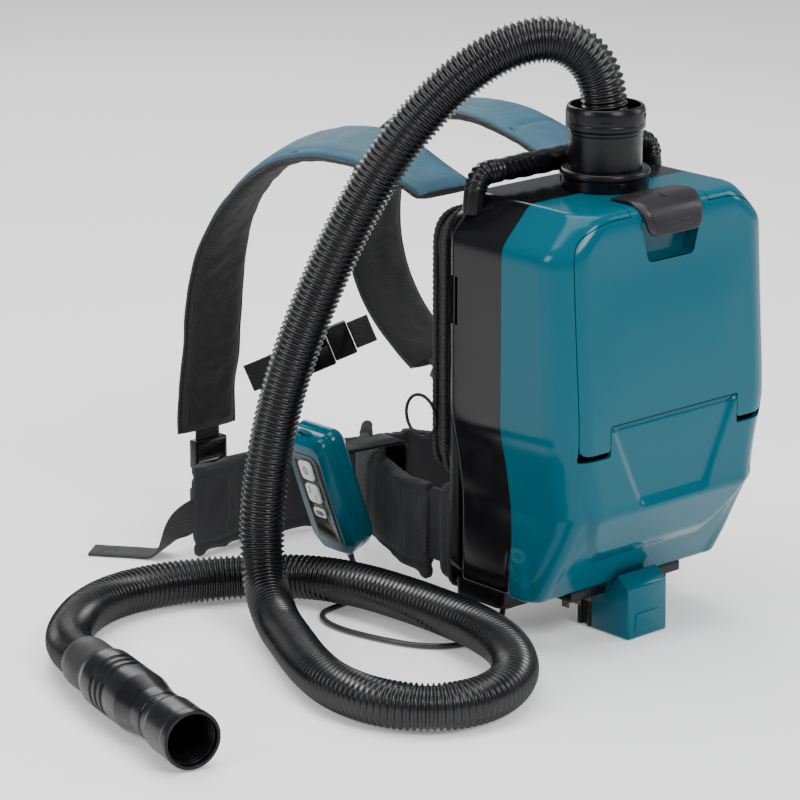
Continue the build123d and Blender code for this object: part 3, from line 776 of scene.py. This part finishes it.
# the lid's shell, with the finger pocket sunk under the latch
lid_shell = add_object("lid_shell", outer.data.copy())
cut(lid_shell, "INTERSECT", lid_fill)
pocket = filleted([(-24.5, 308), (24.5, 308), (34, 343), (-34, 343)], 5, 4)
pocket_cut = cutter(pocket, from_front, 34, 70)
pocket = filleted([(-26.5, 306), (26.5, 306), (36.4, 345), (-36.4, 345)], 6, 4)
pocket_wall = cutter(pocket, from_front, 32.5, 45)
pocket_wall.name = "pocket_wall"
cut(pocket_wall, "DIFFERENCE", pocket_cut)
groove = box_cutter((-34.6, -17.2, 347.5), (34.6, -11.8, 356))
cut(lid_shell, "DIFFERENCE", pocket_cut, groove)
finish_piece(lid_shell, "teal_shell", "lid", node="lid")
finish_piece(pocket_wall, "teal_shell", "lid")
discard(outer, rear_box, front_box, port, lid_gap, lid_fill, pocket_cut, groove, *vents)

# ---- lid fittings and latch
for side, tag in ((-81, "left"), (81, "right")):
    lathe(f"hinge_eye_{tag}", [(2.1, -7), (4.5, -7), (4.5, 7), (2.1, 7)], (side, -46, 175),
          (1, 0, 0), "teal_shell", 0.4, 40, "lid")
rib = box_cutter((-40, -20.2, 343.4), (40, -10.8, 348.9))
rib.name = "latch_rib"
softened(finish_piece(rib, "teal_shell", "lid"), 0.5)

# the latch's cover: a bent, tapering panel with a turned-down rim, from the pin to its lip
cover_path = smooth_path([(0, -14.9, 353.6), (0, -24, 354.6), (0, -36.5, 355), (0, -47, 350),
                          (0, -51.8, 342), (0, -53.2, 329.5)], 12, 0.8)
cover_length = length_of(cover_path)
cover_last = len(cover_path) - 1
LIP_ROUND = 7
COVER_HALF, COVER_TAPER, TAPER_FROM = 34, 6, 24


def cover_place(index):
    """The cover's middle line at a step along it, with its direction and outward normal."""
    before, after = cover_path[max(0, index - 1)], cover_path[min(index + 1, cover_last)]
    along = (after - before).normalized()
    return cover_path[index], along, Vector((0, along.z, -along.y))


spread = [-1 + 2 * k / 30 for k in range(31)]
verts = []
for index in range(len(cover_path)):
    here, along, outward = cover_place(index)
    s = cover_length * index / cover_last
    half = COVER_HALF - COVER_TAPER * max(0, s - TAPER_FROM) / (cover_length - TAPER_FROM)
    past = min(1, max(0, s - cover_length + LIP_ROUND) / LIP_ROUND)
    half -= LIP_ROUND * (1 - (1 - past ** 2) ** 0.5)
    for thick, row in ((1.4, spread), (-1.0, spread[::-1])):
        for u in row:
            rim = 2.8 * ease(0.86, 1, abs(u)) * ease(16, 34, s)
            verts.append(here + Vector((u * half, 0, 0)) + outward * (thick - rim - 0.5 * u * u))
softened(piece("latch_cover", verts, tube_faces(len(cover_path), 2 * len(spread)),
               "latch_plastic", "latch", node="latch"), 0.5)
rod("latch_barrel", [Vector((x, -14.5, 350.6)) for x in range(-34, 35, 4)], 2.1, "latch_plastic",
    20, "latch")


def on_cover(distance):
    """Maps (across, along, out) to the cover at a distance from the pin."""
    here, along, outward = cover_place(round(distance / cover_length * cover_last))
    return lambda u, v, w: tuple(here + Vector((u, 0, 0)) + along * v + outward * w)


for row, distance in enumerate((cover_length - 9.4, cover_length - 6.0)):
    slab(f"latch_groove_{row}", oblong(0, 0, 27, 1.1, 0.5), on_cover(distance), 0.6, 1.8,
         "latch_plastic", 0.25, "latch")
arrow = [(-1.1, -3.5), (1.1, -3.5), (1.1, 1), (3.4, 1), (0, 5.5), (-3.4, 1), (-1.1, 1)]
slab("latch_arrow", filleted(arrow, 0.3, 2), on_cover(20), 0.6, 1.75, "latch_plastic", 0.2,
     "latch")


# ---- inlet, hose cuff and handle
def round_inlet(angle, radius, height):
    """Maps a plane that touches a circle round the inlet's axis."""
    x, y = cos(angle), sin(angle)
    return local((INLET[0] + radius * x, INLET[1] + radius * y, height), (-y, x, 0), (x, y, 0))


lathe("inlet_collar", [(28.6, 320.5), (31.4, 320.5), (31.4, 352.2), (33.6, 352.2), (33.6, 361),
                       (35.2, 362.2), (35.2, 365.2), (33.8, 367), (28.6, 367)],
      INLET, UP, "black_plastic", 0.7, 128, node="inlet_ring")
for index, angle in enumerate((-1.95, -0.6, 0.9, 2.3)):
    slab(f"collar_tab_{index}", oblong(0, 0, 5, 6.5, 1), round_inlet(angle, 33.4, 357), -0.3, 1.0,
         "black_plastic")
upper = lathe("hose_cuff_skin", [(25.5, 340), (28.5, 340), (28.5, 394.5), (29.4, 395.2),
                                 (29.4, 397.4), (30.8, 399), (30.8, 402.6), (30.4, 403.2),
                                 (30.8, 403.8), (30.8, 412), (29.8, 415), (28.8, 416), (27, 416),
                                 (27, 404), (25.5, 402)],
              INLET, UP, "black_plastic", 0.5, 128, "hose_cuff", "hose_cuff")
notches = [cutter(oblong(0, 0, 8.5, 4, 0.6), round_inlet(angle, 30.8, 408.4), -1.6, 3)
           for angle in (-2.35, -0.95, 0.6, 2.1)]
cut(upper, "DIFFERENCE", *notches)
discard(*notches)
shade(upper.data, 35)
lathe("swivel_skin", [(18.2, 378), (25.3, 378), (25.3, 399), (24.4, 401), (22.6, 405),
                      (18.2, 405)], INLET, UP, "black_plastic", body=body_of["hose_swivel"],
      node="hose_swivel")

handle_line = smooth_path([(x, 70, 338 if low else 367.3) for x, low in (
    (-97, 1), (-97, 0), (-68, 0), (0, 0), (68, 0), (97, 0), (97, 1))], 30, 0.9)
handle_length = length_of(handle_line)


def grip_radius(along, angle):
    """Ribbed necks at both ends of a swelling grip with shallow finger rests."""
    s = min(along, handle_length - along)
    neck = ease(14, 18, s) * ease(52, 48, s)
    hold = ease(50, 62, s)
    return (8.3 + neck * (0.5 + 0.65 * cos(2 * pi * s / 3.7)) + 1.0 * hold
            + 0.35 * hold * cos(2 * pi * s / 19))


rod("grip_bar", handle_line, grip_radius, "black_plastic", 32, node="carry_handle")
for u in [middle + 6 * k for middle in (-52, 52) for k in range(-2, 3)]:
    place = local((u, 61.4, 370.2), (0.93, 0, 0.36), (0, -0.93, 0.36))
    slab(f"grip_pad_{u}", oblong(0, 0, 2.6, 9, 1.2), place, -1.0, 0.9, "black_plastic")

# ---- post, base, frame and terminals
EDGE_WIDTHS = {
    "post_cover": 1.6, "post_rail": 1.2, "base_plate": 1.4, "back_frame": 1.2, "ladder_locks": 0.9,
    "buckle_socket": 0.5, "buckle_prong": 0.5, "remote_clip": 0.8, "terminal_blocks": 0.8,
    "terminal_blades": 0.25, "chamber_frame": 0.5, "foam_filter": 1.2, "exhaust_filter": 1.0,
    "bag_collar": 0.4,
}
skins = {name: refine(name, width) for name, width in EDGE_WIDTHS.items()}
skins["remote_clip"].data.materials[0] = look["black_plastic"]
# the shell's rounded shoulders are lower than the chamber frame's top corners
frame_trim = cutter([(-130, 0), (130, 0), (130, 303), (88, 345), (-88, 345), (-130, 303)],
                    from_front, -120, 120)
cut(skins["chamber_frame"], "INTERSECT", frame_trim)
discard(frame_trim)
slab("post_face", filleted([(-15, 5), (15, 5), (13, 20), (-13, 20)], 2.5, 4), from_front, 28.6,
     29.5, "teal_shell")

# ---- remote control
LEAN = radians(20)
REMOTE = local((-118, 215, 88), (0, -1, 0), (-cos(LEAN), 0, -sin(LEAN)))
HALF_WIDE, HALF_TALL = 25, 56
outline = [(-25, -44), (-14, -56), (14, -56), (25, -44), (25, 50), (20, 56), (-20, 56), (-25, 50)]


def remote_half(node, levels):
    """One half of the remote from its (level, inset of the outline) rows."""
    verts = []
    for level, inset in levels:
        wide, tall = 1 - inset / HALF_WIDE, 1 - inset / HALF_TALL
        shape = filleted([(u * wide, v * tall) for u, v in outline], 4, 4)
        verts += [REMOTE(u, v, level) for u, v in shape]
    return piece(node + "_skin", verts, tube_faces(len(levels), len(shape)), "teal_shell",
                 node=node)


front_half = remote_half("remote_front", ((0, 0), (9.5, 0), (14.5, 5.2)))
softened(remote_half("remote_back", ((-0.4, 0), (-10, 0), (-14.5, 4.2))), 0.7)
holes = [cutter(oblong(0, v, width, height, radius), REMOTE, 7, 20)
         for v, width, height, radius in ((27, 15.6, 18.6, 4.5), (5, 15.6, 18.6, 4.5),
                                          (-14, 14.6, 9.6, 3))]
cut(front_half, "DIFFERENCE", *holes)
softened(front_half, 0.7)
label = [(-15.5, -43), (15.5, -43), (17, 36), (11, 42), (-11, 42), (-17, 36)]
label = slab("remote_label_skin", filleted(label, 3, 4), REMOTE, 14.3, 15.0, "black_plastic", 0.2,
             mats=[look["panel_black"]], node="remote_label")
cut(label, "DIFFERENCE", *holes)
discard(*holes)
# height on the face, width, height, corner radius, level of the top
for name, (v, width, height, radius, top) in {
        "button_off": (27, 15, 18, 4.2, 16.7), "button_speed": (5, 15, 18, 4.2, 16.7),
        "button_check": (-14, 13.8, 8.8, 2.6, 16.2)}.items():
    slab(name + "_skin", oblong(0, v, width, height, radius), REMOTE, 8.6, top, slot_of[name], 0.8,
         body_of[name], node=name)


def numeral(text, button, u, v, size):
    """A generic printed number on a button."""
    font = bpy.data.curves.new("numeral", "FONT")
    font.body = text
    font.size = size * MM
    font.extrude = 0.12 * MM
    font.align_x = font.align_y = "CENTER"
    obj = add_object("numeral", font)
    mesh = bpy.data.meshes.new_from_object(obj)
    discard(obj)
    verts = [REMOTE(u + vert.co.x / MM, v + vert.co.y / MM, 16.75 + vert.co.z / MM)
             for vert in mesh.vertices]
    faces = [list(f.vertices) for f in mesh.polygons]
    piece(f"numeral_{button}_{text}", verts, faces, "black_plastic", body_of[button],
          mats=[look["panel_black"]])


numeral("0", "button_off", 0, 27, 11)
numeral("2", "button_speed", -2.6, 8.6, 8.4)
numeral("1", "button_speed", 2.6, 1.0, 8.4)
for name, shape, top, ink in (("0", (-0.4, -14, 8.4, 4.8, 0.8), 16.3, "print_grey"),
                              ("1", (-0.4, -14, 7.4, 3.8, 0.8), 16.38, "panel_black"),
                              ("tip", (4.6, -14, 1.4, 2.2, 0.3), 16.3, "print_grey")):
    slab("charge_mark_" + name, oblong(*shape), REMOTE, 16.1, top, "grey_plastic", 0.05,
         "button_check", mats=[look[ink]])
for index, v in enumerate((-30, -12, 6, 24)):
    place = local(REMOTE(25, v, 4), UP, (0, -1, 0))
    slab(f"remote_rib_{index}", filleted([(-6, -3.4), (5, 1.4), (5, 3.4), (-6, -1.4)], 0.4, 2),
         place, -0.5, 1.1, "teal_shell", 0.3)
loop = [REMOTE(*p) for p in ((-7, 53, 5), (-7, 58.6, 6), (0, 59.6, 6.4), (7, 58.6, 6), (7, 53, 5))]
rod("lanyard_loop", smooth_line(loop, 8), 1.5, "teal_shell", 14)
relief_points = [(4.9, 0), (5.0, 1.5)]
for k in range(4):
    relief_points += [(4.3 - 0.4 * k, 2.5 + 2 * k), (3.7 - 0.35 * k, 3.1 + 2 * k),
                      (3.7 - 0.35 * k, 3.9 + 2 * k)]
lathe("cable_relief", relief_points + [(2.9, 11), (2.35, 11), (2.35, 0)], REMOTE(0, -56, 0),
      Vector(REMOTE(0, -1, 0)) - Vector(REMOTE(0, 0, 0)), "cable", 0.25, 32,
      node="remote_relief")


# ---- padded soft goods
def resurfaced(node, name, voxel, rounds):
    """A CAD node's solid with an even mesh and its edges smoothed off."""
    obj = add_object(name, nodes[node].data.copy())
    modify(obj, "REMESH", mode="VOXEL", voxel_size=voxel * MM)
    baked(obj)
    modify(obj, "SMOOTH", factor=0.5, iterations=rounds)
    return baked(obj)


def sink(mesh, depth):
    """Move every vertex in along its normal by a function of its place and normal."""
    normals = [v.normal.copy() for v in mesh.vertices]
    for vert, outward in zip(mesh.vertices, normals):
        vert.co -= outward * depth(vert.co / MM, outward) * MM


CLOTH = {"quality": 4, "mass": 0.3, "tension_stiffness": 12, "compression_stiffness": 12,
         "bending_stiffness": 2, "use_pressure": True, "uniform_pressure_force": 4}
CLOTH_FRAMES = 20


def puffed(node, name, shrink, cap, fabric, seams, voxel=5):
    """A pad blown up from its CAD solid by cloth simulation, at most by cap, and then sewn."""
    obj = resurfaced(node, name, voxel, 3)
    sink(obj.data, lambda here, outward: shrink)
    start = [v.co.copy() for v in obj.data.vertices]
    cloth = modify(obj, "CLOTH")
    for key, value in CLOTH.items():
        setattr(cloth.settings, key, value)
    cloth.settings.effector_weights.gravity = 0
    cloth.point_cache.frame_start, cloth.point_cache.frame_end = 1, CLOTH_FRAMES
    for step in range(1, CLOTH_FRAMES + 1):
        scene.frame_set(step)
    baked(obj)
    for vert, old in zip(obj.data.vertices, start):
        moved = vert.co - old
        if moved.length > cap * MM:
            vert.co = old + moved.normalized() * cap * MM
    scene.frame_set(1)
    modify(obj, "SUBSURF", levels=1, render_levels=1)
    baked(obj)

    def sewn(here, outward):
        wrinkle = noise(here / 21.0) * 0.7 + noise(here / 8.0) * 0.25
        return seams(here, outward) - wrinkle

    sink(obj.data, sewn)
    finish_piece(obj, slot_of[node], mats=[look[fabric]], smooth=80, node=node)


def back_seams(p, outward):
    """Two columns of three cushions beside a low channel for air."""
    channel = 3.2 * ease(34, 28, abs(p.x))
    seam = max(dip(abs(p.x) - 34, 4.4, 3.4),
               (dip(p.z - 190, 3.6, 3.2) + dip(p.z - 264, 3.6, 3.2)) * ease(30, 34, abs(p.x)))
    return (seam + channel) * ease(0.35, 0.85, outward.y) * ease(102, 94, abs(p.x))


def lumbar_seams(p, outward):
    """Two side cushions and a middle one with a level seam."""
    seam = max(dip(abs(p.x) - 36, 3.6, 3.2), dip(p.z - 71, 2.5, 3) * ease(38, 34, abs(p.x)))
    return seam * ease(0.35, 0.85, outward.y)


puffed("back_pad", "back_cushion", 2.6, 5, "black_fabric", back_seams)
puffed("lumbar_pad", "lumbar_cushion", 2.4, 4.5, "black_fabric", lumbar_seams)


def piped_outline(name, width, height, centre_z, y, radius, size):
    """Corded edge round a pad."""
    loop = [Vector((u, y, v)) for u, v in oblong(0, centre_z, width, height, radius, 8)]
    line = evenly(loop + loop[:1], 1.0)[:-1]
    # a twisted cord
    verts = swept(line, 12, lambda s, angle: size + 0.28 * cos(2 * pi * s / 4.6 + 2 * angle))
    piece(name, verts, ring_faces(len(line), 12, True), "webbing", smooth=60)


piped_outline("back_piping_front", 205, 214, 227.5, 95.5, 26, 2.4)
piped_outline("back_piping_rear", 198, 208, 227.5, 110.0, 25, 2.2)
piped_outline("lumbar_piping", 192, 83, 71.5, 95.5, 14, 2.2)

# each wing's line from above, its lowest and highest Z, and which way is outward
WINGS = {
    "wing_left": ([(-88, 124), (-86, 153), (-68, 205), (-46, 255), (-12, 284)], 27, 112, -1),
    "wing_right": ([(88, 124), (104, 180), (104, 250), (62, 318), (-20, 352), (-90, 362),
                    (-145, 352)], 0, 82, 1),
}
WING_STEP = 3


def wing_line(plan):
    return smooth_path([(x, y, 0) for x, y in plan], 10, WING_STEP)


for name, (plan, low, high, hand) in WINGS.items():
    middle = wing_line(plan)

    def wing_seams(p, outward):
        band = max(dip(p.z - low - 12, 1.6, 2.4), dip(p.z - high + 12, 1.6, 2.4))
        along = min(range(0, len(middle), 4), key=lambda i: (middle[i].xy - p.xy).length)
        return band + dip(((along * WING_STEP) % 62) - 31, 1.8, 3.0)

    puffed(name, name + "_cushion", 2.2, 3.2, "black_fabric", wing_seams, 4.5)


def ribbon(name, line, across, width, thick, slot="webbing", offset=0.0, turned=None, node=None):
    """Flat webbing along a line, its width across, or turning to the direction turned."""
    verts = []
    stations = carried(line)
    first = Vector(across).normalized()
    for index, (here, _, _, tangent) in enumerate(stations):
        across = first
        if turned:
            across = first.lerp(turned, ease(0.05, 0.6, index / (len(stations) - 1)))
        across = (across - tangent * across.dot(tangent)).normalized()
        face = tangent.cross(across).normalized()
        wave = 0.35 * noise(here / 17.0)
        for w, proud in ((-0.5, 0), (-0.5, 0.8), (-0.46, 1.05), (-0.2, 1), (0.2, 1), (0.46, 1.05),
                         (0.5, 0.8), (0.5, 0)):
            verts.append(here + across * (w * width) + face * (offset + proud * thick + wave))
    piece(name, verts, tube_faces(len(stations), 8), slot, smooth=50, node=node)


def sideways(tangent):
    """The level direction to the right of a level line."""
    return Vector((tangent.y, -tangent.x, 0)).normalized()


# the waist belt's webbing, sewn along the outside of each wing and bar-tacked
for name, (plan, low, high, hand) in WINGS.items():
    line = [here + sideways(tangent) * (hand * 7.4) + Vector((0, 0, (low + high) / 2))
            for here, _, _, tangent in carried(wing_line(plan))]
    ribbon(name + "_belt", line[::-hand], UP, 38, 2.0)
    rows = []
    for here, _, _, tangent in carried(line)[6:-4:14]:
        out = sideways(tangent) * hand * 2.3
        rows.append([here + out + Vector((0, 0, -16)), here + out + Vector((0, 0, 16))])
    stitches(name + "_bartacks", rows)
    # the wing is sewn to the lumbar pad by a short flap
    root = [Vector((hand * 90, y, (low + high) / 2 + 6)) for y in (111, 116, 121, 127, 134)]
    ribbon(name + "_root", root[::hand], UP, high - low - 26, 5.0, "black_fabric", -2.5)

# ---- shoulder straps
# STRAP_ACROSS points run over each face, and the upper cover is teal as far as TEAL_TO
STRAP_X, STRAP_STEP, STRAP_ACROSS, TEAL_TO = 75, 3.0, 18, 318
STRAP_RING = 2 * STRAP_ACROSS
# height of the binding over the strap's line, and the seams' place across it
BINDING_LIFT, SEAM_AT = 1.3, 0.74


def above(tangent):
    return Vector((0, -tangent.z, tangent.y)).normalized()


def shoulder_strap(node, line, middle_x, lean):
    """A padded strap: teal cover and then black on top, black mesh cushion below."""
    points = smooth_path([(middle_x, y, z) for y, z in line], 12, STRAP_STEP)
    stations = carried(points)
    total = STRAP_STEP * (len(points) - 1)
    top = [-1 + 2 * k / (STRAP_ACROSS - 1) for k in range(STRAP_ACROSS)]
    verts, edges, seam_rows = [], ([], []), ([], [])
    for i, (here, _, _, tangent) in enumerate(stations):
        s = STRAP_STEP * i
        ends = max(0.12, min(1, s / 9, (total - s) / 9)) ** 0.5
        half = 29.2 + 1.0 * noise(Vector((s / 26.0, middle_x, 0)))
        tilt = lean * ease(20, 110, s) * ease(390, 250, s)
        across = Vector((cos(tilt), 0, 0)) + above(tangent) * sin(tilt)
        upward = above(tangent) * cos(tilt) - Vector((sin(tilt), 0, 0))
        quilt = dip((s - 14) % 96 - 48, 1.8, 3.4)
        for index, u in enumerate(top + [-v for v in top]):
            crown = max(0.0, 1 - abs(u) ** 3.2) ** 0.55
            if index < STRAP_ACROSS:
                seam = dip(abs(u) - SEAM_AT, 1.7, 0.055)
                lift = 5.6 * crown - seam * ends - quilt * crown
                lift += 0.7 * noise(Vector((s / 17.0, u * 1.7, middle_x + 9))) * crown
                lift = BINDING_LIFT + lift * ends + 0.5
            else:
                lift = 1.4 * noise(Vector((s / 11.0, u * 2.2, middle_x))) * crown - 8.2 * crown
                lift = BINDING_LIFT + lift * ends - 0.5
            verts.append(here + across * (u * half) + upward * lift)
        for k, u in enumerate((-1, 1)):
            edges[k].append(here + across * (u * (half + 0.4)) + upward * BINDING_LIFT)
            if 8 < s < total - 8:
                seam_rows[k].append(here + across * (u * half * SEAM_AT) + upward * 4.4)
    strap = piece(node + "_padded", verts, tube_faces(len(stations), STRAP_RING), slot_of[node],
                  mats=[look[cloth] for cloth in ("teal_fabric", "mesh_cloth", "black_fabric")],
                  smooth=70, node=node)
    for polygon in strap.data.polygons:
        on_top = max(v % STRAP_RING for v in polygon.vertices) <= STRAP_ACROSS
        s = STRAP_STEP * (min(polygon.vertices) // STRAP_RING)
        polygon.material_index = 1 if not on_top else 0 if s < TEAL_TO else 2
    for tag, edge in zip(("left", "right"), edges):
        rod(f"{node}_binding_{tag}", edge, 1.6, "webbing", 10)
    covered = int(TEAL_TO / STRAP_STEP)
    stitches(node + "_stitches", [row[:covered - 4] for row in seam_rows], "teal_fabric")
    # the adjusting web, sewn on the black part
    line = [here + above(tangent) * 5.6 for here, _, _, tangent in stations[covered + 12:-3]]
    ribbon(f"{node}_web", line, (1, 0, 0), 25, 1.8)


shoulder_strap("strap_left", [
    (125, 340.5), (158, 352), (205, 361), (255, 360), (306, 345), (345, 320), (378, 288),
    (400, 248), (411, 200), (415, 150), (424, 114), (423, 84)], -STRAP_X, 0.27)
shoulder_strap("strap_right", [
    (126, 342), (165, 355), (225, 368), (290, 363), (340, 340), (372, 295), (380, 243),
    (366, 198), (332, 162), (296, 142)], STRAP_X, 0.0)
# webs that join each strap's end to its ladder lock
for tag, x, line in (("left", -STRAP_X, [(423.5, 98), (424.5, 80), (424, 68), (420, 57)]),
                     ("right", STRAP_X, [(303, 147), (291, 141), (284, 137), (278, 128)])):
    ribbon("lock_web_" + tag, smooth_path([(x, y, z) for y, z in line], 6, 2), (1, 0, 0), 25, 1.8)

# ---- flat webbing
for name in ("lower_webbing", "sternum_strap"):
    web = resurfaced(name, name + "_web", 0.9, 2)
    sink(web.data, lambda here, outward: -0.25 * noise(here / 9.0))
    finish_piece(web, slot_of[name], body_of[name], None, 70, name)
# the belt's free end drops from the far wing to the floor and lies flat there
tail_end = Vector((-199, 426, 2.3))
run = (tail_end - Vector((-173, 395, 2.3))).normalized()
across = Vector((run.y, -run.x, 0))
ribbon("strap_tail_web", smooth_path([
    (-138, 352.5, 41), (-152, 354, 39), (-160, 364, 20), (-164, 378, 0.5), (-176, 396, 0.2),
    (-199, 426, 0.2)], 10, 2), UP, 25, 2.0, turned=-across, node="strap_tail")
# a sewn box with one cross: its corners in two rows
(a, b), (c, d) = [[tail_end - run * back + across * out for out in (10, -10)] for back in (6, 20)]
stitches("tail_hem", [[a, b], [c, d], [a, d], [b, c]], mats=[look["cable"]])

# ---- dust bag
puffed("dust_bag", "filter_bag", 1.5, 4, "bag",
       lambda p, outward: dip(p.x, 1.6, 2.6) + 1.2 * noise(p / 14.0))
